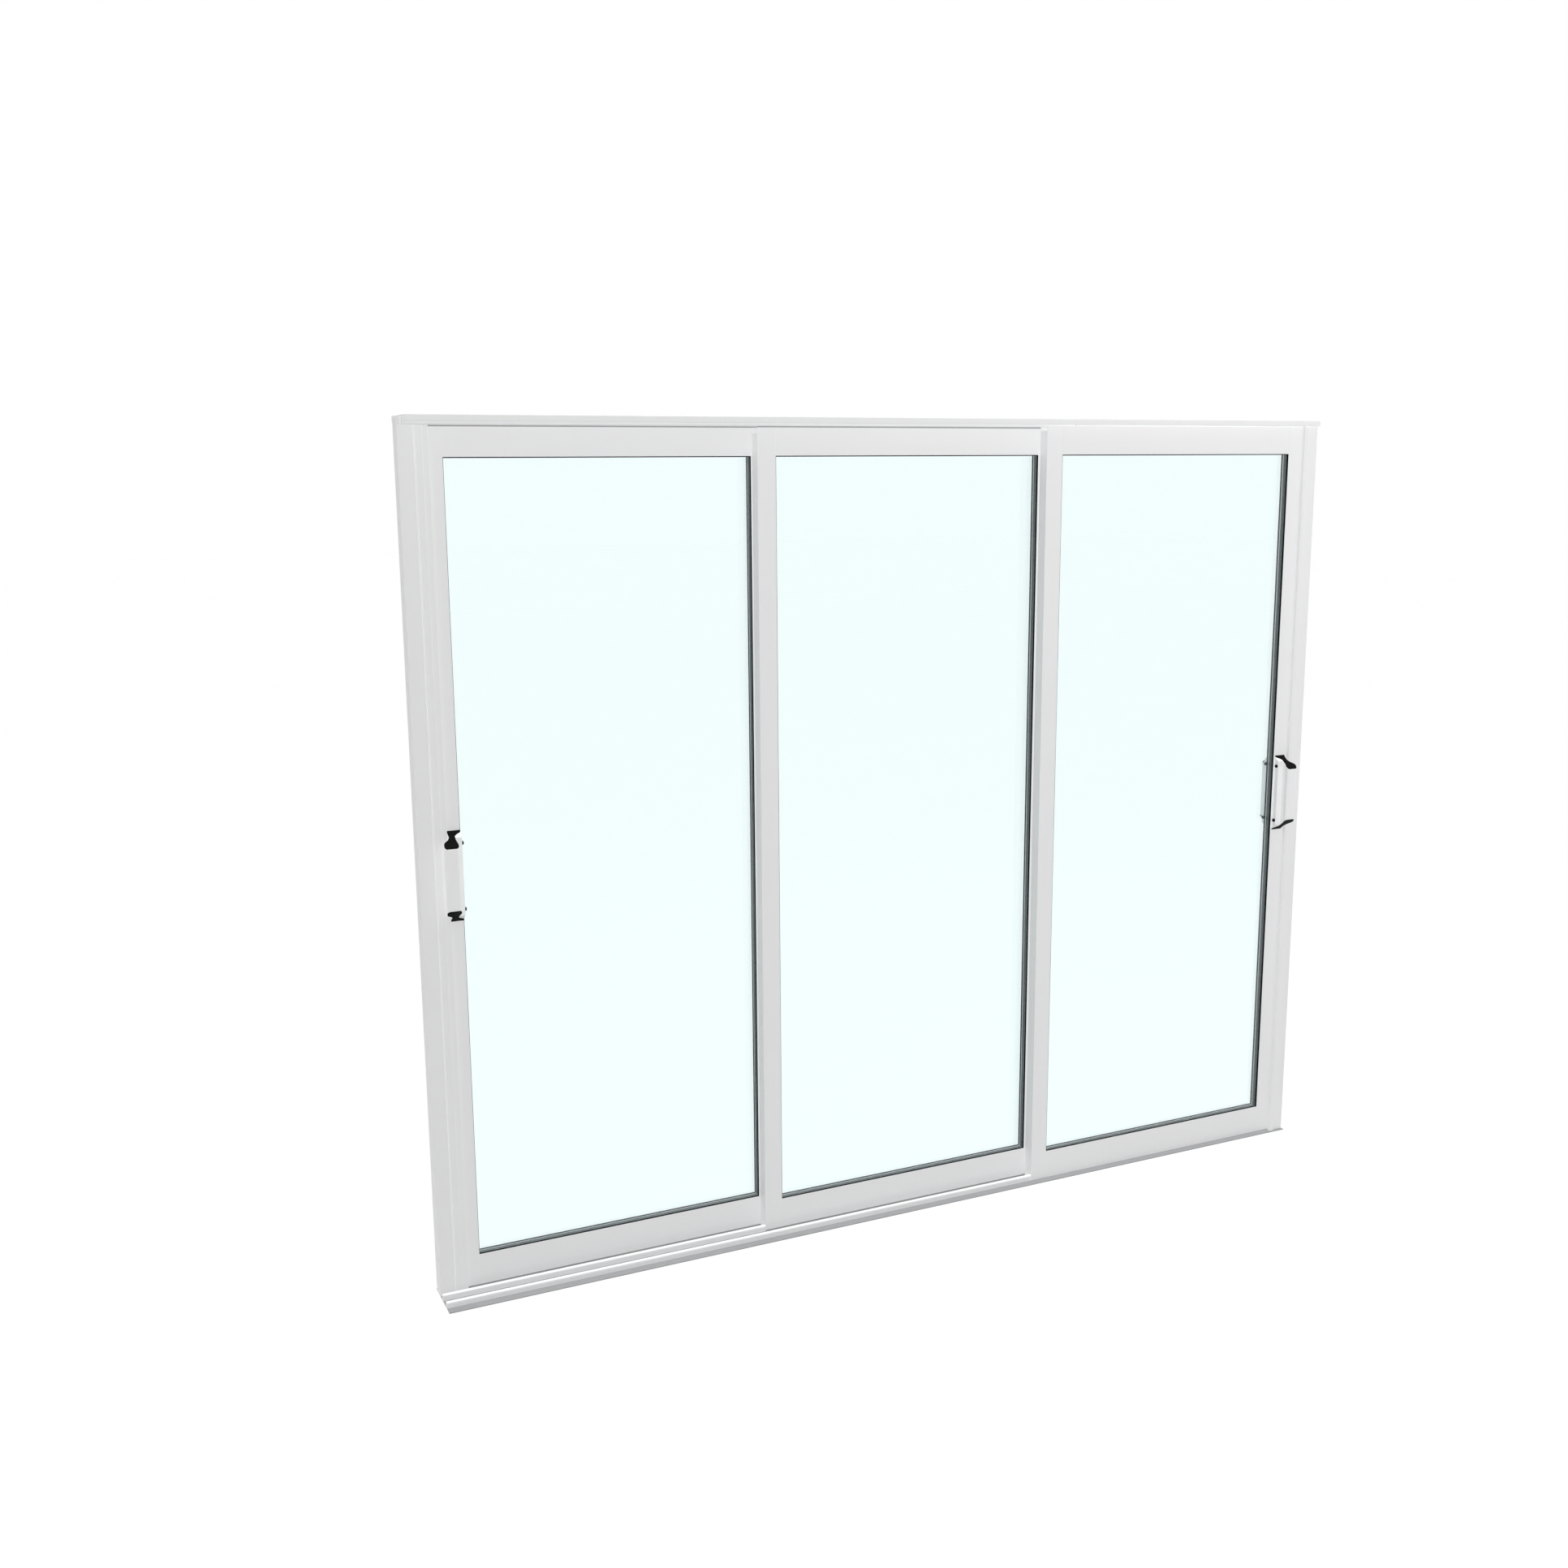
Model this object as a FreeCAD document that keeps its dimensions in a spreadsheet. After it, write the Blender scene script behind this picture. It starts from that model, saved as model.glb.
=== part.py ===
import FreeCAD, Part
import math
import os
import Sketcher

# Three-panel sliding glass door of white powder-coated aluminium, seen from outside along +Y.
# The left sash runs in the back lane, the fixed middle sash stands in the middle lane and the
# right sash runs in the front lane. The origin is the middle of the sill plate's underside.

doc = FreeCAD.newDocument("patio_door")
sheet = doc.addObject("Spreadsheet::Sheet", "sizes")

SIZES = {
    # outer frame
    "frame_width": 2550, "frame_height": 2100, "frame_depth": 135,
    "lane_start": 20, "lane_pitch": 40,
    # sill plate and its three running tracks
    "sill_plate": 2, "track_tall": 15, "track_wide": 10, "track_setback": 4,
    # head plate, its fascias and the three guide ribs
    "head_plate": 3.5, "fascia_tall": 14, "fascia_wall": 3,
    "guide_tall": 16.5, "guide_wide": 10, "guide_setback": 7,
    # side jambs, the left cover strip and the right front strip
    "jamb_lead": 10, "jamb_wall": 2.5, "jamb_wide": 37, "jamb_depth": 42,
    "cover_wide": 33, "cover_wall": 4, "cover_step": 1.5, "cover_front": 19, "cover_inset": 1,
    "flange_wide": 48.5, "flange_thick": 5, "box_wide": 25.5, "box_depth": 40,
    "strip_wide": 13.5, "strip_thick": 5,
    # rubber seals between the jambs and the outer sashes
    "seal_inset": 6, "seal_deep": 20, "seal_clearance": 0.3,
    # sashes
    "sash_depth": 32, "left_margin": 53.5, "right_margin": 42, "stile_wide": 48.5,
    "bottom_rail": 79, "top_rail": 67, "sash_lift": 4.5, "sash_headroom": 3,
    "front_drop": 3, "front_rise": 7, "sash_wall": 2,
    "track_clearance": 3, "channel_deep": 40, "head_channel": 12,
    # glazing
    "glass_recess": 6, "pane": 4, "cavity": 12, "pocket_deep": 14, "edge_play": 2,
    "gasket_wide": 0.8, "gasket_top": 2, "gasket_inset": 0.5,
    # rollers, top guides and the packers of the fixed sash
    "wheel_radius": 11, "wheel_wide": 7, "run_clearance": 0.3, "roller_inset": 120,
    "housing_long": 90, "housing_wall": 2.5, "guide_long": 60, "guide_clearance": 1.5,
    "fork_wall": 2.5, "fork_reach": 8, "packer_long": 80,
    # pull handles
    "handle_height": 1046, "handle_long": 219, "handle_out": 42, "end_slope": 32,
    "left_edge": 16, "right_edge": 10,
    "base_wide": 33.5, "base_thick": 3, "neck_wide": 14, "neck_shift": 7, "neck_sweep": 13,
    "grip_wide": 33.5, "grip_thick": 13, "grip_shift": 13.5, "grip_round": 4, "cap_thick": 3,
    "block_deep": 15, "block_bite": 1,
    "screw_spacing": 159.5, "screw_radius": 4.75, "screw_head": 4.3, "screw_out": 8.4,
    # brush seals between the sashes
    "brush_wide": 6, "brush_clearance": 0.5,
}

for row, (alias, value) in enumerate(SIZES.items(), start=1):
    sheet.set(f"A{row}", alias)
    sheet.set(f"B{row}", str(value))
    sheet.setAlias(f"B{row}", alias)
doc.recompute()

NODES = []


def cell(alias):
    return f"sizes.{alias}"


def bind(feature, **expressions):
    """Bind properties of a feature to expressions, with double underscores for the dots."""
    for path, expression in expressions.items():
        feature.setExpression(path.replace("__", "."), expression)
    return feature


def place(feature, x, y, z):
    return bind(feature, Placement__Base__x=x, Placement__Base__y=y, Placement__Base__z=z)


def keep(feature, label):
    """Name a finished sub-part."""
    feature.Label = label
    NODES.append(feature)
    return feature


def block(name, x, y, z, length, width, height):
    box = doc.addObject("Part::Box", name)
    bind(box, Length=length, Width=width, Height=height)
    return place(box, x, y, z)


def plane_of(body, role):
    return next(item for item in body.Origin.OriginFeatures if item.Role == role)


def add_outline(sketch, corners):
    """A closed outline whose corners are held by one distance along each sketch axis."""
    count = len(corners)
    first = sketch.GeometryCount
    start = [FreeCAD.Vector(50 * math.cos(math.tau * i / count), 50 * math.sin(math.tau * i / count), 0)
             for i in range(count)]
    for i in range(count):
        sketch.addGeometry(Part.LineSegment(start[i], start[(i + 1) % count]), False)
    for i in range(count):
        sketch.addConstraint(Sketcher.Constraint("Coincident", first + i, 2, first + (i + 1) % count, 1))
    for i, (across, up) in enumerate(corners):
        for kind, distance in (("DistanceX", across), ("DistanceY", up)):
            held = sketch.addConstraint(Sketcher.Constraint(kind, -1, 1, first + i, 1, 1.0))
            sketch.setExpression(f"Constraints[{held}]", distance)


def profile(name, role, outlines, length):
    """An extruded section: closed outlines on one origin plane, padded to a length."""
    body = doc.addObject("PartDesign::Body", name)
    sketch = body.newObject("Sketcher::SketchObject", f"{name}_section")
    sketch.AttachmentSupport = [(plane_of(body, role), "")]
    sketch.MapMode = "FlatFace"
    for corners in outlines:
        add_outline(sketch, corners)
    pad = body.newObject("PartDesign::Pad", f"{name}_pad")
    pad.Profile = sketch
    bind(pad, Length=length)
    body.Tip = pad
    return body


def cut(name, base, *tools):
    """Take each tool away from the base in turn."""
    result = base
    for number, tool in enumerate(tools):
        step = doc.addObject("Part::Cut", f"{name}_cut_{number}")
        step.Base = result
        step.Tool = tool
        result = step
    return result


def group(name, members):
    """Like pieces on one body that share a node."""
    compound = doc.addObject("Part::Compound", name)
    compound.Links = members
    return compound


# Levels and lanes that several pieces share.
LEFT = "(-sizes.frame_width / 2)"
RIGHT = "(sizes.frame_width / 2)"
FRONT = "(-sizes.frame_depth / 2)"
HEAD_UNDER = "(sizes.frame_height - sizes.head_plate)"
GUIDE_LOW = f"({HEAD_UNDER} - sizes.guide_tall)"
TRACK_TOP = "(sizes.sill_plate + sizes.track_tall)"
# Three sashes fill the width between the margins, each lapping its neighbour by one stile.
SASH_WIDTH = "((sizes.frame_width - sizes.left_margin - sizes.right_margin + 2 * sizes.stile_wide) / 3)"
SASH_LOW = "(sizes.sill_plate + sizes.sash_lift)"
SASH_TOP = f"({GUIDE_LOW} - sizes.sash_headroom)"

# Lane, place along the door, drop of the bottom edge and rise of the top edge of each sash.
SASHES = {
    "left_sash": (2, 0, "0", "0"),
    "middle_sash": (1, 1, "0", "0"),
    "right_sash": (0, 2, cell("front_drop"), cell("front_rise")),
}


def lane_face(lane):
    return f"({FRONT} + sizes.lane_start + {lane} * sizes.lane_pitch)"


def sash_left(place_number):
    """The left edge of a sash; neighbours overlap by one stile."""
    return f"({LEFT} + sizes.left_margin + {place_number} * ({SASH_WIDTH} - sizes.stile_wide))"


# Sill: a flat grey plate that carries three upright running tracks.
keep(block("sill_plate_box", LEFT, FRONT, "0", cell("frame_width"), cell("frame_depth"),
           cell("sill_plate")), "sill_plate")

# The front lane's track and guide stop at the right jamb, the back lane's at the left jamb.
LANE_ENDS = {0: ("0", cell("box_wide")), 1: ("0", "0"), 2: (cell("jamb_wide"), "0")}


def lane_bars(name, setback, bottom, wide, tall):
    bars = []
    for lane, (left_stop, right_stop) in LANE_ENDS.items():
        bars.append(block(f"{name}_{lane}", f"{LEFT} + {left_stop}", f"{lane_face(lane)} + {setback}", bottom,
                          f"sizes.frame_width - {left_stop} - {right_stop}", wide, tall))
    return group(name, bars)


keep(lane_bars("sill_track_bars", cell("track_setback"), cell("sill_plate"), cell("track_wide"),
               cell("track_tall")), "sill_tracks")

# Head: a plate with a fascia at the front and one at the back, and three guide ribs under it.
LIP_TOP = "(sizes.fascia_tall - sizes.head_plate)"
FAR_LIP = "(sizes.frame_depth - sizes.fascia_wall)"
head = profile("head_profile", "YZ_Plane", [[
    ("0", "0"),
    (cell("fascia_wall"), "0"),
    (cell("fascia_wall"), LIP_TOP),
    (FAR_LIP, LIP_TOP),
    (FAR_LIP, "0"),
    (cell("frame_depth"), "0"),
    (cell("frame_depth"), cell("fascia_tall")),
    ("0", cell("fascia_tall")),
]], cell("frame_width"))
keep(place(head, LEFT, FRONT, "sizes.frame_height - sizes.fascia_tall"), "head_frame")
keep(lane_bars("head_guide_bars", cell("guide_setback"), GUIDE_LOW, cell("guide_wide"), cell("guide_tall")),
     "head_guides")

# Jambs: hollow uprights beside the outer sashes, from the sill plate to the head plate.
JAMB_TALL = f"({HEAD_UNDER} - sizes.sill_plate)"
LEFT_JAMB_FACE = f"({lane_face(2)} - sizes.jamb_lead)"
RIGHT_JAMB_FACE = f"({lane_face(0)} - sizes.jamb_lead)"
WALL = cell("jamb_wall")


def tube(across_low, across_high, deep_low, deep_high):
    return [(across_low, deep_low), (across_high, deep_low), (across_high, deep_high), (across_low, deep_high)]


left_jamb = profile("left_jamb_profile", "XY_Plane", [
    tube("0", cell("jamb_wide"), "0", cell("jamb_depth")),
    tube(WALL, f"sizes.jamb_wide - {WALL}", WALL, f"sizes.jamb_depth - {WALL}"),
], JAMB_TALL)
keep(place(left_jamb, LEFT, LEFT_JAMB_FACE, cell("sill_plate")), "left_jamb")

# A stepped strip on the left jamb laps over the front of the closed left sash.
cover = profile("left_cover_profile", "XY_Plane", [[
    ("0", "0"),
    (cell("cover_front"), "0"),
    (cell("cover_front"), cell("cover_step")),
    (cell("cover_wide"), cell("cover_step")),
    (cell("cover_wide"), cell("cover_wall")),
    ("0", cell("cover_wall")),
]], f"({GUIDE_LOW} - sizes.sill_plate)")
keep(place(cover, f"{LEFT} + sizes.jamb_wide", f"{LEFT_JAMB_FACE} + sizes.cover_inset", cell("sill_plate")),
     "left_jamb_cover")

# The right jamb's flange laps over the front of the closed right sash.
right_jamb = profile("right_jamb_profile", "XY_Plane", [
    [("0", "0"), ("-sizes.flange_wide", "0"), ("-sizes.flange_wide", cell("flange_thick")),
     ("-sizes.box_wide", cell("flange_thick")), ("-sizes.box_wide", "sizes.flange_thick + sizes.box_depth"),
     ("0", "sizes.flange_thick + sizes.box_depth")],
    tube(f"-{WALL}", f"{WALL} - sizes.box_wide", "sizes.flange_thick",
         f"sizes.flange_thick + sizes.box_depth - {WALL}"),
], JAMB_TALL)
keep(place(right_jamb, RIGHT, RIGHT_JAMB_FACE, cell("sill_plate")), "right_jamb")
keep(block("right_strip_box", f"{RIGHT} - sizes.flange_wide", f"{RIGHT_JAMB_FACE} - sizes.strip_thick",
           cell("sill_plate"), cell("strip_wide"), cell("strip_thick"),
           "sizes.frame_height - sizes.fascia_tall - sizes.sill_plate"), "right_jamb_strip")

# Rubber seals in the jambs, just short of the closed sashes' edges.
SEAL_TALL = f"({GUIDE_LOW} - {TRACK_TOP} - 2 * sizes.seal_inset)"
SEAL_LOW = f"({TRACK_TOP} + sizes.seal_inset)"
keep(block("left_seal_box", f"{LEFT} + sizes.jamb_wide", f"{lane_face(2)} + sizes.seal_inset", SEAL_LOW,
           "sizes.left_margin - sizes.jamb_wide - sizes.seal_clearance", cell("seal_deep"), SEAL_TALL),
     "left_jamb_seal")
RIGHT_SASH_EDGE = f"({sash_left(2)} + {SASH_WIDTH})"
keep(block("right_seal_box", f"{RIGHT_SASH_EDGE} + sizes.seal_clearance", f"{lane_face(0)} + sizes.seal_inset",
           SEAL_LOW, f"{RIGHT} - sizes.box_wide - {RIGHT_SASH_EDGE} - sizes.seal_clearance",
           cell("seal_deep"), SEAL_TALL), "right_jamb_seal")

# Sashes: rails butt between full-height stiles, and each frame holds a sealed double pane.
UNIT_DEEP = "(2 * sizes.pane + sizes.cavity)"
UNIT_BACK = f"(sizes.glass_recess + {UNIT_DEEP})"
INNER_BACK = "(sizes.sash_depth - sizes.sash_wall)"


def stile(name, inward, tall):
    """A hollow upright with a glazing pocket on the side that looks inward."""
    edge = f"{inward} * sizes.stile_wide"
    pocket = f"{inward} * (sizes.stile_wide - sizes.pocket_deep)"
    wall = f"{inward} * sizes.sash_wall"
    chamber = f"{inward} * (sizes.stile_wide - sizes.pocket_deep - sizes.sash_wall)"
    return profile(name, "XY_Plane", [
        [("0", "0"), (edge, "0"), (edge, cell("glass_recess")), (pocket, cell("glass_recess")),
         (pocket, UNIT_BACK), (edge, UNIT_BACK), (edge, cell("sash_depth")), ("0", cell("sash_depth"))],
        [(wall, cell("sash_wall")), (chamber, cell("sash_wall")), (chamber, INNER_BACK), (wall, INNER_BACK)],
    ], tall)


def bottom_rail(name, length):
    """A rail whose legs straddle the track, with a hollow chamber and a glazing pocket on top."""
    top = cell("bottom_rail")
    pocket = "(sizes.bottom_rail - sizes.pocket_deep)"
    web = "(sizes.channel_deep + sizes.sash_wall)"
    return profile(name, "YZ_Plane", [
        [("0", "0"), (cell("sash_wall"), "0"), (cell("sash_wall"), cell("channel_deep")),
         (INNER_BACK, cell("channel_deep")), (INNER_BACK, "0"), (cell("sash_depth"), "0"),
         (cell("sash_depth"), top), (UNIT_BACK, top), (UNIT_BACK, pocket), (cell("glass_recess"), pocket),
         (cell("glass_recess"), top), ("0", top)],
        [(cell("sash_wall"), web), (INNER_BACK, web), (INNER_BACK, f"{pocket} - sizes.sash_wall"),
         (cell("sash_wall"), f"{pocket} - sizes.sash_wall")],
    ], length)


def top_rail(name, length, tall):
    """A rail with a glazing pocket below and an open channel for the guide above."""
    floor = f"({tall} - sizes.head_channel)"
    return profile(name, "YZ_Plane", [
        [("0", "0"), (cell("glass_recess"), "0"), (cell("glass_recess"), cell("pocket_deep")),
         (UNIT_BACK, cell("pocket_deep")), (UNIT_BACK, "0"), (cell("sash_depth"), "0"),
         (cell("sash_depth"), tall), (INNER_BACK, tall), (INNER_BACK, floor), (cell("sash_wall"), floor),
         (cell("sash_wall"), tall), ("0", tall)],
        [(cell("sash_wall"), "sizes.pocket_deep + sizes.sash_wall"),
         (INNER_BACK, "sizes.pocket_deep + sizes.sash_wall"),
         (INNER_BACK, f"{floor} - sizes.sash_wall"), (cell("sash_wall"), f"{floor} - sizes.sash_wall")],
    ], length)


def ring(name, x, y, z, length, depth, height, rim, top):
    """A flat rectangular ring that lies against the glass, with a top bar of its own height."""
    outer = block(f"{name}_outer", x, y, z, length, depth, height)
    inner = block(f"{name}_inner", f"{x} + {rim}", f"{y} - 1", f"{z} + {rim}", f"{length} - 2 * {rim}",
                  f"{depth} + 2", f"{height} - {rim} - {top}")
    return cut(name, outer, inner)


def sash(prefix):
    """One glazed sash: stiles, rails, double pane, spacer and gaskets."""
    lane, place_number, drop, rise = SASHES[prefix]
    x = sash_left(place_number)
    y = lane_face(lane)
    low = f"({SASH_LOW} - {drop})"
    top = f"({SASH_TOP} + {rise})"
    tall = f"({top} - {low})"
    day_x = f"({x} + sizes.stile_wide)"
    day_wide = f"({SASH_WIDTH} - 2 * sizes.stile_wide)"
    day_low = f"({low} + sizes.bottom_rail)"
    day_top = f"({SASH_TOP} - sizes.top_rail)"

    for side, inward, corner in (("left", "1", x), ("right", "(-1)", f"({x} + {SASH_WIDTH})")):
        name = f"{prefix}_{side}_stile"
        upright = place(stile(f"{name}_profile", inward, tall), corner, y, low)
        edge = x if side == "left" else f"({x} + {SASH_WIDTH} - sizes.stile_wide)"
        notch_y = f"{y} + sizes.sash_wall"
        notch_deep = "sizes.sash_depth - 2 * sizes.sash_wall"
        foot = block(f"{name}_foot", f"{edge} - 1", notch_y, f"{low} - 1", "sizes.stile_wide + 2",
                     notch_deep, f"{TRACK_TOP} + sizes.track_clearance - {low} + 1")
        crown = block(f"{name}_crown", f"{edge} - 1", notch_y, f"{top} - sizes.head_channel",
                      "sizes.stile_wide + 2", notch_deep, "sizes.head_channel + 1")
        keep(cut(name, upright, foot, crown), name)

    keep(place(bottom_rail(f"{prefix}_bottom_rail_profile", day_wide), day_x, y, low), f"{prefix}_bottom_rail")
    high = top_rail(f"{prefix}_top_rail_profile", day_wide, f"(sizes.top_rail + {rise})")
    keep(place(high, day_x, y, day_top), f"{prefix}_top_rail")

    hold = "(sizes.pocket_deep - sizes.edge_play)"
    unit_x = f"({day_x} - {hold})"
    unit_z = f"({day_low} - {hold})"
    unit_wide = f"({day_wide} + 2 * {hold})"
    unit_tall = f"({day_top} - {day_low} + 2 * {hold})"
    front = f"({y} + sizes.glass_recess)"
    panes = [block(f"{prefix}_{which}_pane", unit_x, level, unit_z, unit_wide, cell("pane"), unit_tall)
             for which, level in (("outer", front), ("inner", f"{front} + sizes.pane + sizes.cavity"))]
    keep(group(f"{prefix}_panes", panes), f"{prefix}_glass")
    keep(ring(f"{prefix}_spacer_ring", unit_x, f"{front} + sizes.pane", unit_z, unit_wide, cell("cavity"),
              unit_tall, hold, hold), f"{prefix}_spacer")
    day_tall = f"({day_top} - {day_low})"
    outer_gasket = ring(f"{prefix}_outer_gasket", day_x, f"({y} + sizes.gasket_inset)", day_low, day_wide,
                        "(sizes.glass_recess - sizes.gasket_inset)", day_tall, cell("gasket_wide"),
                        cell("gasket_top"))
    inner_gasket = ring(f"{prefix}_inner_gasket", day_x, f"({y} + {UNIT_BACK})", day_low, day_wide,
                        f"(sizes.sash_depth - {UNIT_BACK} - sizes.gasket_inset)", day_tall,
                        cell("gasket_wide"), cell("gasket_top"))
    keep(group(f"{prefix}_gasket_rings", [outer_gasket, inner_gasket]), f"{prefix}_gaskets")


for sash_name in SASHES:
    sash(sash_name)

# Brush seals on both faces of the fixed sash close the laps to its neighbours.
BRUSH_DEEP = "(sizes.lane_pitch - sizes.sash_depth - sizes.brush_clearance)"
BRUSH_INSET = "(sizes.stile_wide - sizes.brush_wide) / 2"
brushes = [
    block("left_lap_brush", f"{sash_left(1)} + {BRUSH_INSET}", f"{lane_face(1)} + sizes.sash_depth", SASH_LOW,
          cell("brush_wide"), BRUSH_DEEP, f"{SASH_TOP} - {SASH_LOW}"),
    block("right_lap_brush", f"{sash_left(2)} + {BRUSH_INSET}", f"{lane_face(1)} - {BRUSH_DEEP}", SASH_LOW,
          cell("brush_wide"), BRUSH_DEEP, f"{SASH_TOP} - {SASH_LOW}"),
]
keep(group("lap_brush_pair", brushes), "lap_brushes")

TRACK_MIDDLE = "(sizes.track_setback + sizes.track_wide / 2)"
RIB_MIDDLE = "(sizes.guide_setback + sizes.guide_wide / 2)"
SPAN = f"({SASH_WIDTH} - 2 * sizes.roller_inset)"


def station(place_number, number):
    """The X of a sash's first or second roller, guide or packer."""
    return f"({sash_left(place_number)} + sizes.roller_inset + {number} * {SPAN})"


def rollers(prefix):
    """Two wheels in housings under the rail's web, just above the track."""
    lane, place_number, drop, _ = SASHES[prefix]
    pieces = []
    centre_y = f"({lane_face(lane)} + {TRACK_MIDDLE})"
    web = f"({SASH_LOW} - {drop} + sizes.channel_deep)"
    axle_z = f"({TRACK_TOP} + sizes.run_clearance + sizes.wheel_radius)"
    half_wide = "(sizes.wheel_wide / 2 + sizes.housing_wall)"
    for number in range(2):
        middle = station(place_number, number)
        wheel = doc.addObject("Part::Cylinder", f"{prefix}_wheel_{number}")
        wheel.Placement = FreeCAD.Placement(FreeCAD.Vector(), FreeCAD.Rotation(FreeCAD.Vector(1, 0, 0), -90))
        bind(wheel, Radius=cell("wheel_radius"), Height=cell("wheel_wide"))
        place(wheel, middle, f"{centre_y} - sizes.wheel_wide / 2", axle_z)
        housing = block(f"{prefix}_housing_{number}", f"{middle} - sizes.housing_long / 2",
                        f"{centre_y} - {half_wide}", axle_z, cell("housing_long"), f"2 * {half_wide}",
                        f"{web} - {axle_z}")
        carriage = doc.addObject("Part::Fuse", f"{prefix}_carriage_{number}")
        carriage.Base = housing
        carriage.Tool = wheel
        pieces.append(carriage)
    keep(group(f"{prefix}_carriages", pieces), f"{prefix}_rollers")


def top_guides(prefix):
    """Two plastic forks in the top rail's channel that straddle the head's guide rib."""
    lane, place_number, _, rise = SASHES[prefix]
    floor = f"({SASH_TOP} + {rise} - sizes.head_channel)"
    rib_y = f"({lane_face(lane)} + sizes.guide_setback)"
    outer_y = f"({rib_y} - sizes.guide_clearance - sizes.fork_wall)"
    gap_wide = "(sizes.guide_wide + 2 * sizes.guide_clearance)"
    forks = []
    for number in range(2):
        start = f"({station(place_number, number)} - sizes.guide_long / 2)"
        solid = block(f"{prefix}_fork_block_{number}", start, outer_y, floor, cell("guide_long"),
                      f"{gap_wide} + 2 * sizes.fork_wall", f"{GUIDE_LOW} + sizes.fork_reach - {floor}")
        gap = block(f"{prefix}_fork_gap_{number}", f"{start} - 1", f"{rib_y} - sizes.guide_clearance",
                    f"{GUIDE_LOW} - sizes.guide_clearance", "sizes.guide_long + 2", gap_wide,
                    "sizes.fork_reach + 5")
        forks.append(cut(f"{prefix}_fork_{number}", solid, gap))
    keep(group(f"{prefix}_forks", forks), f"{prefix}_top_guides")


for sash_name in ("left_sash", "right_sash"):
    rollers(sash_name)
    top_guides(sash_name)

# Packers carry the fixed sash on its track and hold its top channel to the rib.
packers = []
for number in range(2):
    start = f"{station(1, number)} - sizes.packer_long / 2"
    packers.append(block(f"bottom_packer_{number}", start, f"{lane_face(1)} + sizes.track_setback", TRACK_TOP,
                         cell("packer_long"), cell("track_wide"),
                         f"{SASH_LOW} + sizes.channel_deep - {TRACK_TOP}"))
    packers.append(block(f"top_packer_{number}", start, f"{lane_face(1)} + sizes.guide_setback",
                         f"{SASH_TOP} - sizes.head_channel", cell("packer_long"), cell("guide_wide"),
                         "sizes.head_channel + sizes.sash_headroom"))
keep(group("middle_packers", packers), "middle_sash_packers")

# Pull handles: an hourglass section with a side block on its glass side, both cut to one slope,
# and black caps on the section's ends. Across runs from the base's middle towards the jamb, out
# runs away from the sash.
GRIP_ROOT = "(sizes.handle_out - sizes.grip_thick)"
HALF = "(sizes.base_wide / 2)"
NECK_LOW = "(sizes.neck_shift - sizes.neck_wide / 2)"
NECK_HIGH = "(sizes.neck_shift + sizes.neck_wide / 2)"
GRIP_LOW = "(sizes.grip_shift - sizes.grip_wide / 2)"
GRIP_HIGH = "(sizes.grip_shift + sizes.grip_wide / 2)"
ROUND = cell("grip_round")
SWEEP = cell("neck_sweep")


def hourglass(name, towards):
    corners = [
        (f"-{HALF}", "0"),
        (HALF, "0"),
        (f"{HALF} - sizes.base_thick / 2", cell("base_thick")),
        (f"({HALF} + {NECK_HIGH}) / 2 - sizes.base_thick / 3", "2.5 * sizes.base_thick"),
        (NECK_HIGH, "4 * sizes.base_thick"),
        (NECK_HIGH, f"{GRIP_ROOT} - {SWEEP}"),
        (f"(2 * {NECK_HIGH} + {GRIP_HIGH}) / 3 - {ROUND} / 5", f"{GRIP_ROOT} - {SWEEP} / 2"),
        (f"{GRIP_HIGH} - 2 * {ROUND} / 5", GRIP_ROOT),
        (GRIP_HIGH, f"{GRIP_ROOT} + {ROUND}"),
        (GRIP_HIGH, f"sizes.handle_out - {ROUND}"),
        (f"{GRIP_HIGH} - {ROUND}", cell("handle_out")),
        (f"{GRIP_LOW} + {ROUND}", cell("handle_out")),
        (GRIP_LOW, f"sizes.handle_out - {ROUND}"),
        (GRIP_LOW, f"{GRIP_ROOT} + {ROUND}"),
        (f"{GRIP_LOW} + 2 * {ROUND} / 5", GRIP_ROOT),
        (NECK_LOW, f"{GRIP_ROOT} - {SWEEP} / 2"),
        (NECK_LOW, "4 * sizes.base_thick"),
        (f"(2 * {NECK_LOW} - {HALF}) / 3", "2.5 * sizes.base_thick"),
        (f"sizes.base_thick / 2 - {HALF}", cell("base_thick")),
    ]
    return profile(name, "XY_Plane", [[(f"{towards} * ({across})", out) for across, out in corners]],
                   cell("handle_long"))


def sloped_wedge(name, margin):
    """The space between the handle's two sloped ends, less a margin at each end."""
    wedge = doc.addObject("Part::Wedge", name)
    wide = "(sizes.base_wide + sizes.grip_wide)"
    return bind(
        wedge,
        Xmin=f"-{wide}", Xmax=wide, X2min=f"-{wide}", X2max=wide,
        Ymin="0", Ymax=cell("handle_out"),
        Zmin=margin, Zmax=f"sizes.handle_long - {margin}",
        Z2min=f"sizes.end_slope + {margin}", Z2max=f"sizes.handle_long - sizes.end_slope - {margin}",
    )


def overlap(name, base, tool):
    common = doc.addObject("Part::Common", name)
    common.Base = base
    common.Tool = tool
    return common


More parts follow.
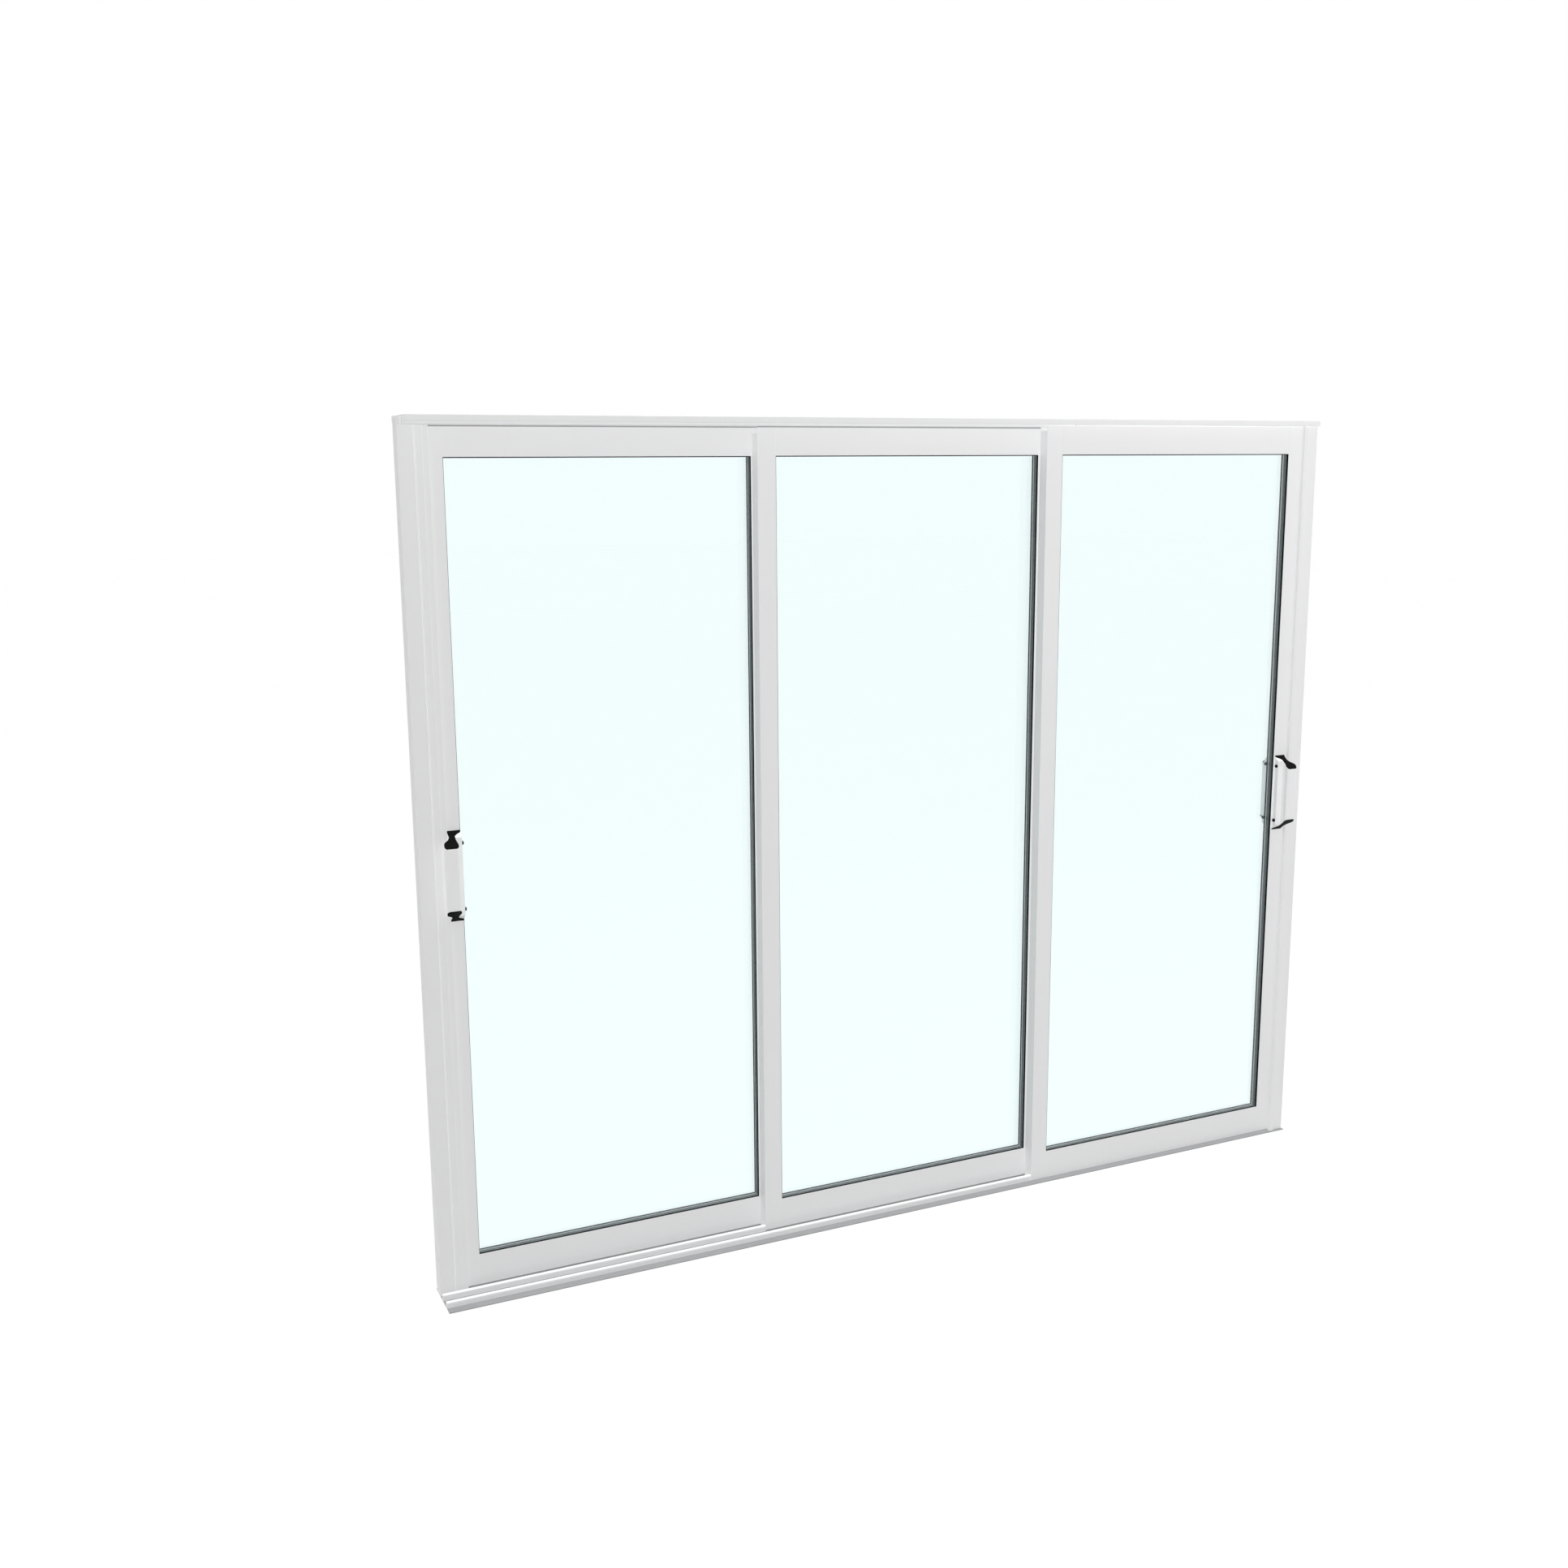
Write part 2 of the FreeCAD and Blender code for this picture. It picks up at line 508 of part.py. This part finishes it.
def handle(name, towards, turn, x, y):
    """A pull handle and its black trim, on the sash face at x and y."""
    spot = FreeCAD.Placement(FreeCAD.Vector(), FreeCAD.Rotation(FreeCAD.Vector(0, 0, 1), turn))
    z = "sizes.handle_height - sizes.handle_long / 2"
    glass_side = -1 if towards == "1" else 1
    section = hourglass(f"{name}_section", towards)
    inner = sloped_wedge(f"{name}_inner", cell("cap_thick"))
    reach = f"({HALF} + {NECK_LOW} + sizes.block_bite)"
    side = block(f"{name}_side_bar", f"-{HALF}" if glass_side < 0 else f"{HALF} - {reach}", "0", "0",
                 reach, cell("block_deep"), cell("handle_long"))
    joined = doc.addObject("Part::Fuse", f"{name}_joined")
    joined.Base = overlap(f"{name}_grip", section, inner)
    joined.Tool = overlap(f"{name}_side", side, inner)
    joined.Placement = spot
    keep(place(joined, x, y, z), name)

    ends = overlap(f"{name}_ends", section, sloped_wedge(f"{name}_outer", "0"))
    trim = [cut(f"{name}_caps", ends, inner)]
    for end in (-1, 1):
        screw = doc.addObject("Part::Cylinder", f"{name}_screw_{end + 1}")
        screw.Placement = FreeCAD.Placement(
            FreeCAD.Vector(), FreeCAD.Rotation(FreeCAD.Vector(0, 1, 0), 90 * glass_side))
        bind(screw, Radius=cell("screw_radius"), Height=cell("screw_head"))
        place(screw, f"{glass_side} * {HALF}", cell("screw_out"),
              f"(sizes.handle_long + {end} * sizes.screw_spacing) / 2")
        trim.append(screw)
    pair = group(f"{name}_trim_set", trim)
    pair.Placement = spot
    keep(place(pair, x, y, z), f"{name}_trim")


LEFT_HANDLE_X = f"({sash_left(0)} + sizes.left_edge + {HALF})"
RIGHT_HANDLE_X = f"({RIGHT_SASH_EDGE} - sizes.right_edge - {HALF})"
handle("left_outside_handle", "1", 180, LEFT_HANDLE_X, lane_face(2))
handle("left_inside_handle", "(-1)", 0, LEFT_HANDLE_X, f"{lane_face(2)} + sizes.sash_depth")
handle("right_outside_handle", "(-1)", 180, RIGHT_HANDLE_X, lane_face(0))
handle("right_inside_handle", "1", 0, RIGHT_HANDLE_X, f"{lane_face(0)} + sizes.sash_depth")

doc.recompute()

failed = [item.Label for item in doc.Objects if "Invalid" in item.State or "Error" in item.State]
if failed:
    raise RuntimeError(f"these did not build: {failed}")

os.makedirs("parts", exist_ok=True)
for node in NODES:
    shape = node.Shape
    if shape.isNull() or not shape.isValid() or not shape.Solids:
        raise RuntimeError(f"{node.Label} has no valid solid")
    shape.exportStep(os.path.join("parts", f"{node.Label}.step"))
    print(node.Label, len(shape.Solids), round(shape.Volume), shape.BoundBox)
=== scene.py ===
import math
import bmesh
import bpy
from mathutils import Matrix, Vector


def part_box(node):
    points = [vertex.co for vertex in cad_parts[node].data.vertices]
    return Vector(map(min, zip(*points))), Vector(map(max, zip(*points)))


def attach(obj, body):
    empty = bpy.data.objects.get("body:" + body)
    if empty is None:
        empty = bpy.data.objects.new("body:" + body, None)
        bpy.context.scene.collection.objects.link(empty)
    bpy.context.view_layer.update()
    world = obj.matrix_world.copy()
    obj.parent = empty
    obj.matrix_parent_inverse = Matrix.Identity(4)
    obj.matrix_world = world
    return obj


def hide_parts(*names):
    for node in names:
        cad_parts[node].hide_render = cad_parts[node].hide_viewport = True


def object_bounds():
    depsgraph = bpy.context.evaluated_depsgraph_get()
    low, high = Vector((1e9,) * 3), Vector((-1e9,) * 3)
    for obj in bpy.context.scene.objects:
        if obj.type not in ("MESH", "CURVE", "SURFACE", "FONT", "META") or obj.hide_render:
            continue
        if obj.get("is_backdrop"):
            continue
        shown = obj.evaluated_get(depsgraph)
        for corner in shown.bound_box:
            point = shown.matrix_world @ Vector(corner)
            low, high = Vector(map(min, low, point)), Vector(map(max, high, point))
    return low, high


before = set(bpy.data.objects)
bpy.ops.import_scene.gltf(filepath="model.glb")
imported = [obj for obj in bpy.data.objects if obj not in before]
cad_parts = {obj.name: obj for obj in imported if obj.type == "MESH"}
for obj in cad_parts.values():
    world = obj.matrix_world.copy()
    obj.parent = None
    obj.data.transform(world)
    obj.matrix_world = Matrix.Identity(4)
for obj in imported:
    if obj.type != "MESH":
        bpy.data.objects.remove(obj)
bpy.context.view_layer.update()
bpy.ops.object.select_all(action="DESELECT")

# The room: a white studio floor that runs on into a white surround.
# Soft lamps above, in front of and beside the door light it evenly and cast no shadows.


def sight_mask(tree):
    """A mask that is 1 where the camera, a gloss or the glass looks at the room."""
    path = tree.nodes.new("ShaderNodeLightPath")
    mask = path.outputs["Is Camera Ray"]
    for ray in ("Is Glossy Ray", "Is Transmission Ray"):
        either = tree.nodes.new("ShaderNodeMath")
        either.operation = "MAXIMUM"
        tree.links.new(mask, either.inputs[0])
        tree.links.new(path.outputs[ray], either.inputs[1])
        mask = either.outputs[0]
    return mask


bpy.ops.mesh.primitive_plane_add(size=60, location=(0, 10, 0))
floor = bpy.context.object
floor.name = "studio_floor"
bpy.ops.object.transform_apply()
floor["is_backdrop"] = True
floor_paint = bpy.data.materials.new("studio_floor_paint")
floor_paint.use_nodes = True
tree = floor_paint.node_tree
tree.nodes.clear()
matt = tree.nodes.new("ShaderNodeBsdfDiffuse")
matt.inputs["Color"].default_value = (0.5, 0.5, 0.5, 1)
faint = tree.nodes.new("ShaderNodeBsdfDiffuse")
faint.inputs["Color"].default_value = (0.3, 0.3, 0.3, 1)
white = tree.nodes.new("ShaderNodeEmission")
white.inputs["Strength"].default_value = 0.655
seen_floor = tree.nodes.new("ShaderNodeAddShader")
pick = tree.nodes.new("ShaderNodeMixShader")
out = tree.nodes.new("ShaderNodeOutputMaterial")
tree.links.new(faint.outputs[0], seen_floor.inputs[0])
tree.links.new(white.outputs[0], seen_floor.inputs[1])
tree.links.new(sight_mask(tree), pick.inputs[0])
tree.links.new(matt.outputs[0], pick.inputs[1])
tree.links.new(seen_floor.outputs[0], pick.inputs[2])
tree.links.new(pick.outputs[0], out.inputs["Surface"])
floor.data.materials.append(floor_paint)

world = bpy.data.worlds.new("studio")
bpy.context.scene.world = world
world.use_nodes = True
tree = world.node_tree
tree.nodes.clear()
fill = tree.nodes.new("ShaderNodeBackground")
fill.inputs["Color"].default_value = (1, 1, 1, 1)
fill.inputs["Strength"].default_value = 0.3
shown = tree.nodes.new("ShaderNodeBackground")
shown.inputs["Color"].default_value = (1, 1, 1, 1)
pick = tree.nodes.new("ShaderNodeMixShader")
out = tree.nodes.new("ShaderNodeOutputWorld")
tree.links.new(sight_mask(tree), pick.inputs[0])
tree.links.new(fill.outputs[0], pick.inputs[1])
tree.links.new(shown.outputs[0], pick.inputs[2])
tree.links.new(pick.outputs[0], out.inputs["Surface"])

lamp_spread = math.radians(20)
wide_lamps = (("top_lamp", 2.0, 12, 0), ("front_lamp", 0.2, 75, 0), ("left_lamp", 0.75, 80, -80),
              ("back_lamp", 0.7, 60, 160), ("right_lamp", 0.6, 75, 80))
for name, power, tilt, turn in wide_lamps:
    bpy.ops.object.light_add(type="SUN", rotation=(math.radians(tilt), 0, math.radians(turn)))
    lamp = bpy.context.object
    lamp.name = name
    lamp.data.energy = power
    lamp.data.angle = lamp_spread
    lamp.data.use_shadow = False

softbox_size = 1.6
softboxes = (("high_softbox", (2.1, -2.5, 3.0), 26, (0.6, 0, 1.4)),
             ("left_softbox", (-1.2, -1.6, 3.0), 3.5, (-1.0, 0, 1.6)))
for name, spot, power, target in softboxes:
    bpy.ops.object.light_add(type="AREA", location=spot)
    softbox = bpy.context.object
    softbox.name = name
    softbox.data.energy = power
    softbox.data.size = softbox_size
    softbox.data.use_shadow = False
    aim = Vector(target) - softbox.location
    softbox.rotation_euler = aim.to_track_quat("-Z", "Y").to_euler()

camera_turn = -24.7146
camera_pitch = 10.8265
camera_roll = -0.4565
bpy.ops.object.camera_add(location=(-2.0362, -3.6581, 1.9685))
camera = bpy.context.object
camera.data.sensor_fit = "HORIZONTAL"
camera.data.sensor_width = 36
camera.data.lens = 37.31
aim = (Matrix.Rotation(math.radians(camera_turn), 3, "Z")
       @ Matrix.Rotation(math.radians(90 - camera_pitch), 3, "X")
       @ Matrix.Rotation(math.radians(camera_roll), 3, "Z"))
camera.rotation_euler = aim.to_euler()
bpy.context.scene.camera = camera
bpy.context.scene.view_settings.view_transform = "Standard"
bpy.ops.object.select_all(action="DESELECT")

# The sill plate: a flat aluminium threshold that the tracks stand on, coated a dark grey that is
# painted shade.
# Its paint is satin, with the fine grain of powder and a little drift in tone along its length.
grain = bpy.data.node_groups.new("powder_grain", "ShaderNodeTree")
for label, kind, value in (("Paint", "NodeSocketColor", (0.8, 0.8, 0.8, 1)),
                           ("Drift", "NodeSocketFloat", 0.02),
                           ("Smooth", "NodeSocketFloat", 0.3),
                           ("Rough", "NodeSocketFloat", 0.45),
                           ("Peel", "NodeSocketFloat", 0.05)):
    socket = grain.interface.new_socket(label, in_out="INPUT", socket_type=kind)
    socket.default_value = value
for label, kind in (("Color", "NodeSocketColor"), ("Roughness", "NodeSocketFloat"),
                    ("Normal", "NodeSocketVector")):
    grain.interface.new_socket(label, in_out="OUTPUT", socket_type=kind)
nodes, links = grain.nodes, grain.links
given = nodes.new("NodeGroupInput")
put = nodes.new("NodeGroupOutput")
coordinate = nodes.new("ShaderNodeTexCoord")
cloud = nodes.new("ShaderNodeTexNoise")
satin = nodes.new("ShaderNodeTexNoise")
powder = nodes.new("ShaderNodeTexNoise")
for noise, scale, detail in ((cloud, 3.5, 4), (satin, 45, 3), (powder, 900, 2)):
    noise.inputs["Scale"].default_value = scale
    noise.inputs["Detail"].default_value = detail
    links.new(coordinate.outputs["Object"], noise.inputs["Vector"])
spread = nodes.new("ShaderNodeMath")
spread.operation = "SUBTRACT"
spread.inputs[1].default_value = 0.5
weigh = nodes.new("ShaderNodeMath")
weigh.operation = "MULTIPLY"
level = nodes.new("ShaderNodeMath")
level.operation = "ADD"
level.inputs[1].default_value = 1
tone = nodes.new("ShaderNodeVectorMath")
tone.operation = "SCALE"
sheen = nodes.new("ShaderNodeMapRange")
relief = nodes.new("ShaderNodeBump")
relief.inputs["Distance"].default_value = 0.0002
links.new(cloud.outputs["Fac"], spread.inputs[0])
links.new(spread.outputs[0], weigh.inputs[0])
links.new(given.outputs["Drift"], weigh.inputs[1])
links.new(weigh.outputs[0], level.inputs[0])
links.new(given.outputs["Paint"], tone.inputs[0])
links.new(level.outputs[0], tone.inputs["Scale"])
links.new(tone.outputs["Vector"], put.inputs["Color"])
links.new(satin.outputs["Fac"], sheen.inputs["Value"])
links.new(given.outputs["Smooth"], sheen.inputs["To Min"])
links.new(given.outputs["Rough"], sheen.inputs["To Max"])
links.new(sheen.outputs["Result"], put.inputs["Roughness"])
links.new(powder.outputs["Fac"], relief.inputs["Height"])
links.new(given.outputs["Peel"], relief.inputs["Strength"])
links.new(relief.outputs["Normal"], put.inputs["Normal"])


def powder_coat(name, paint, drift, smooth, rough, peel, coat=0.0, gloss=0.5):
    """A powder-coated metal: the shared grain feeds one Principled shader."""
    finish = bpy.data.materials.new(name)
    finish.use_nodes = True
    tree = finish.node_tree
    shader = tree.nodes["Principled BSDF"]
    shader.inputs["Specular IOR Level"].default_value = gloss
    shader.inputs["Coat Weight"].default_value = coat
    shader.inputs["Coat Roughness"].default_value = 0.2
    skin = tree.nodes.new("ShaderNodeGroup")
    skin.node_tree = grain
    skin.inputs["Paint"].default_value = (*paint, 1)
    skin.inputs["Drift"].default_value = drift
    skin.inputs["Smooth"].default_value = smooth
    skin.inputs["Rough"].default_value = rough
    skin.inputs["Peel"].default_value = peel
    tree.links.new(skin.outputs["Color"], shader.inputs["Base Color"])
    tree.links.new(skin.outputs["Roughness"], shader.inputs["Roughness"])
    tree.links.new(skin.outputs["Normal"], shader.inputs["Normal"])
    return finish


def dress(name, finish):
    """Gives a CAD solid its finish."""
    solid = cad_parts[name]
    solid.data.materials.clear()
    solid.data.materials.append(finish)


# The sill plate's dark grey is painted shade.
sill_shade_grey = powder_coat("sill_shade_grey", paint=(0.245, 0.25, 0.255), drift=0.06,
                        smooth=0.35, rough=0.5, peel=0.08)
dress("sill_plate", sill_shade_grey)

# The running tracks: three white-coated aluminium rails that stand on the sill plate.
# Each is one extruded bar with a rounded crown for the rollers.
frame_white = powder_coat("frame_white", paint=(0.82, 0.82, 0.825), drift=0.02,
                          smooth=0.34, rough=0.46, peel=0.05)
crown_round = 0.0035
smooth_angle = math.radians(35)
long_run = 0.5
near = 0.0001


def blank(name, low, high):
    """A plain bar between two corners, left in edit mode to be shaped."""
    bpy.ops.mesh.primitive_cube_add(size=1, location=(low + high) / 2)
    piece = bpy.context.object
    piece.name = name
    piece.scale = high - low
    bpy.ops.object.transform_apply(location=True, rotation=True, scale=True)
    bpy.ops.object.mode_set(mode="EDIT")
    bpy.ops.mesh.select_mode(type="EDGE")
    return piece


def pick_edges(piece, wanted):
    """Selects the edges whose two ends pass a test, in edit mode."""
    mesh = bmesh.from_edit_mesh(piece.data)
    mesh.select_mode = {"EDGE"}
    for edge in mesh.edges:
        edge.select_set(wanted(*(piece.matrix_world @ corner.co for corner in edge.verts)))
    mesh.select_flush_mode()
    bmesh.update_edit_mesh(piece.data)


def finish_piece(piece, body, finish):
    """Puts a modelled piece at rest on the door: its own finish and body."""
    bpy.ops.object.mode_set(mode="OBJECT")
    bpy.ops.object.select_all(action="DESELECT")
    piece.select_set(True)
    bpy.context.view_layer.objects.active = piece
    bpy.ops.object.transform_apply(location=True, rotation=True, scale=True)
    bpy.ops.object.shade_smooth_by_angle(angle=smooth_angle)
    weighted = piece.modifiers.new("weighted", "WEIGHTED_NORMAL")
    weighted.keep_sharp = True
    bpy.ops.object.modifier_apply(modifier=weighted.name)
    piece.data.materials.clear()
    piece.data.materials.append(finish)
    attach(piece, body)
    piece.select_set(False)
    return piece


track_low, track_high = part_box("sill_tracks")
track_wide = 0.010
lane_pitch = 0.040
box_wide = 0.0255
jamb_wide = 0.037
lane_stops = ((0, box_wide), (0, 0), (jamb_wide, 0))
for lane, (left_stop, right_stop) in enumerate(lane_stops):
    front = track_low.y + lane * lane_pitch
    track = blank(f"sill_track_lane_{lane}",
                  Vector((track_low.x + left_stop, front, track_low.z)),
                  Vector((track_high.x - right_stop, front + track_wide, track_high.z)))
    pick_edges(track, lambda a, b: abs(a.x - b.x) > long_run and min(a.z, b.z) > track_high.z - near)
    bpy.ops.mesh.bevel(offset=crown_round, segments=6, affect="EDGES")
    finish_piece(track, "frame", frame_white)
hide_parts("sill_tracks")

# The extruded frame: head, guide ribs, jambs, stiles and rails in white-coated aluminium.
# Every long corner of an extrusion has a small soft radius, which catches the light.
soft_corner = 0.0006
weld = 0.00001
flat_angle = math.radians(1)


def merged_copy(name, label):
    """A copy of a CAD solid with its split corners joined and its flat faces made whole."""
    twin = bpy.data.objects.new(label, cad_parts[name].data.copy())
    bpy.context.scene.collection.objects.link(twin)
    bpy.ops.object.select_all(action="DESELECT")
    twin.select_set(True)
    bpy.context.view_layer.objects.active = twin
    bpy.ops.object.mode_set(mode="EDIT")
    bpy.ops.mesh.select_all(action="SELECT")
    bpy.ops.mesh.remove_doubles(threshold=weld)
    bpy.ops.mesh.dissolve_limited(angle_limit=flat_angle)
    bpy.ops.object.mode_set(mode="OBJECT")
    return twin


def round_over(piece, width, segments, sharpest):
    """Rounds every edge that turns by more than the given number of degrees."""
    corner = piece.modifiers.new("round_over", "BEVEL")
    corner.width = width
    corner.segments = segments
    corner.angle_limit = math.radians(sharpest)
    bpy.ops.object.modifier_apply(modifier=corner.name)


extrusions = {
    "frame": ["head_frame", "head_guides", "right_jamb", "right_jamb_strip"],
    "left_sash": [],
    "right_sash": [],
}
sash_bodies = (("left_sash", "left_sash"), ("middle_sash", "frame"), ("right_sash", "right_sash"))
for sash, body in sash_bodies:
    for part in ("left_stile", "right_stile", "bottom_rail", "top_rail"):
        extrusions[body].append(f"{sash}_{part}")
for body, names in extrusions.items():
    for name in names:
        section = merged_copy(name, f"{name}_extrusion")
        round_over(section, soft_corner, 2, 40)
        finish_piece(section, body, frame_white)
        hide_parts(name)

# The left jamb: a white extruded upright on the back lane, its outer front corner well rounded.
# A stepped strip on it laps over the closed sash and carries a raised bead along its inner side.
jamb_low, jamb_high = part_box("left_jamb")
jamb = blank("left_jamb_upright", jamb_low, jamb_high)
pick_edges(jamb, lambda a, b: abs(a.z - b.z) > long_run and max(a.x, b.x) < jamb_low.x + near)
bpy.ops.mesh.bevel(offset=0.002, segments=5, affect="EDGES")
pick_edges(jamb, lambda a, b: abs(a.z - b.z) > long_run and min(a.x, b.x) > jamb_high.x - near)
bpy.ops.mesh.bevel(offset=0.0012, segments=3, affect="EDGES")
finish_piece(jamb, "frame", frame_white)
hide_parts("left_jamb")

cover_low, cover_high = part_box("left_jamb_cover")
cover = merged_copy("left_jamb_cover", "left_jamb_lap")
bpy.ops.object.mode_set(mode="EDIT")
pick_edges(cover, lambda a, b: abs(a.z - b.z) > long_run)
bpy.ops.mesh.bevel(offset=0.0007, segments=2, affect="EDGES")
finish_piece(cover, "frame", frame_white)
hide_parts("left_jamb_cover")

bead_radius = 0.0014
bead_inset = 0.0022
bead_sunk = 0.0004
bpy.ops.mesh.primitive_cylinder_add(
    vertices=24, radius=bead_radius, depth=cover_high.z - cover_low.z,
    location=(cover_low.x + bead_inset, cover_low.y + bead_sunk, (cover_low.z + cover_high.z) / 2))
bead = bpy.context.object
bead.name = "left_cover_bead"
bpy.ops.object.mode_set(mode="EDIT")
pick_edges(bead, lambda a, b: max(a.z, b.z) < cover_low.z + near or min(a.z, b.z) > cover_high.z - near)
bpy.ops.mesh.bevel(offset=0.0006, segments=3, affect="EDGES")
finish_piece(bead, "frame", frame_white)

# The sealed double panes: clear float glass with a faint sea-green tint.
# The edge spacer between the panes is dark grey foam, and black rubber beads hold the glass.
glass = bpy.data.materials.new("float_glass")
glass.use_nodes = True
nodes, links = glass.node_tree.nodes, glass.node_tree.links
shader = nodes["Principled BSDF"]
shader.inputs["Base Color"].default_value = (0.942, 0.996, 0.996, 1)
shader.inputs["Transmission Weight"].default_value = 1
shader.inputs["Roughness"].default_value = 0
shader.inputs["IOR"].default_value = 1.5
clear = nodes.new("ShaderNodeBsdfTransparent")
clear.inputs["Color"].default_value = (0.96, 0.99, 0.99, 1)
path = nodes.new("ShaderNodeLightPath")
soft = nodes.new("ShaderNodeMath")
soft.operation = "MAXIMUM"
pick = nodes.new("ShaderNodeMixShader")
links.new(path.outputs["Is Shadow Ray"], soft.inputs[0])
links.new(path.outputs["Is Diffuse Ray"], soft.inputs[1])
links.new(soft.outputs[0], pick.inputs[0])
links.new(shader.outputs[0], pick.inputs[1])
links.new(clear.outputs[0], pick.inputs[2])
links.new(pick.outputs[0], nodes["Material Output"].inputs["Surface"])

spacer_grey = powder_coat("spacer_grey", paint=(0.125, 0.14, 0.143), drift=0.04,
                          smooth=0.6, rough=0.75, peel=0.1, gloss=0.1)
rubber_black = powder_coat("rubber_black", paint=(0.003, 0.003, 0.003), drift=0.2,
                           smooth=0.55, rough=0.7, peel=0.2, gloss=0.03)
for sash, body in sash_bodies:
    dress(f"{sash}_glass", glass)
    dress(f"{sash}_spacer", spacer_grey)
    dress(f"{sash}_gaskets", rubber_black)

# Seals and running gear: extruded rubber against the jambs, grey brush where two sashes pass.
# Moulded nylon wheels, top guides and packers carry and steady the sashes inside their rails.
# This brush grey also colours the pile strips below, where it is painted shade in the slits.
brush_and_shade_grey = powder_coat("brush_and_shade_grey", paint=(0.34, 0.34, 0.34), drift=0.3,
                         smooth=0.8, rough=0.95, peel=0.6, gloss=0.1)
nylon_white = powder_coat("nylon_white", paint=(0.78, 0.78, 0.76), drift=0.03,
                          smooth=0.4, rough=0.55, peel=0.05)
for name in ("left_jamb_seal", "right_jamb_seal"):
    dress(name, rubber_black)
dress("lap_brushes", brush_and_shade_grey)
dress("middle_sash_packers", nylon_white)
for sash in ("left_sash", "right_sash"):
    dress(f"{sash}_rollers", nylon_white)
    dress(f"{sash}_top_guides", nylon_white)

# Pile seals and painted shade: strips of grey brush behind the front wall of the left and middle
# sashes.
# One closes the slit under the head's guide rib, the other the slit over the sill; their grey is
# painted shade for the dark of each slit.
lane_wall = 0.0021
shade_pile_thick = 0.0008
shade_pile_tip = 0.0003
end_gap = 0.002
top_root = 0.008
rib_lap = 0.0005
sill_gap = 0.0003
low_shade_pile_top = 0.028
rib_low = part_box("head_guides")[0].z
sill_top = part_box("sill_plate")[1].z
for sash, body in sash_bodies[:2]:
    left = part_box(f"{sash}_left_stile")[0]
    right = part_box(f"{sash}_right_stile")[1]
    front = left.y + lane_wall
    for label, foot, top in (("top", right.z - top_root, rib_low + rib_lap),
                             ("bottom", sill_top + sill_gap, low_shade_pile_top)):
        shade_pile = blank(f"{sash}_{label}_pile", Vector((left.x + end_gap, front, foot)),
                     Vector((right.x - end_gap, front + shade_pile_thick, top)))
        tip = top if label == "top" else foot
        pick_edges(shade_pile, lambda a, b: abs(a.x - b.x) > long_run
                   and max(abs(a.z - tip), abs(b.z - tip)) < near)
        bpy.ops.mesh.bevel(offset=shade_pile_tip, segments=3, affect="EDGES")
        finish_piece(shade_pile, body, brush_and_shade_grey)

# The pull handles: white-coated grips with an hourglass section, cut off at a slope top and bottom.
# Black moulded caps close the ends, and two black dome-headed screws sit in each side block.
handle_white = powder_coat("handle_white", paint=(0.84, 0.84, 0.845), drift=0.015,
                           smooth=0.28, rough=0.4, peel=0.04, coat=0.1)
cap_black = powder_coat("cap_black", paint=(0.003, 0.003, 0.003), drift=0.2,
                        smooth=0.45, rough=0.6, peel=0.1, gloss=0.03)
edge_round = 0.0016
dome_round = 0.0024
same_side = 0.001
handles = (("left_outside", "left_sash"), ("left_inside", "left_sash"),
           ("right_outside", "right_sash"), ("right_inside", "right_sash"))
for place, body in handles:
    grip = merged_copy(f"{place}_handle", f"{place}_grip")
    round_over(grip, edge_round, 4, 12)
    finish_piece(grip, body, handle_white)
    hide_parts(f"{place}_handle")

    # The screws stand out past the handle on its glass side, so their rim is the trim's own end.
    trim = merged_copy(f"{place}_handle_trim", f"{place}_caps")
    bpy.ops.object.mode_set(mode="EDIT")
    low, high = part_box(f"{place}_handle_trim")
    handle_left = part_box(f"{place}_handle")[0].x
    rim = low.x if abs(low.x - handle_left) > same_side else high.x
    pick_edges(trim, lambda a, b: max(abs(a.x - rim), abs(b.x - rim)) < near)
    bpy.ops.mesh.bevel(offset=dome_round, segments=6, affect="EDGES")
    finish_piece(trim, body, cap_black)
    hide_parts(f"{place}_handle_trim")

low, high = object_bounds()
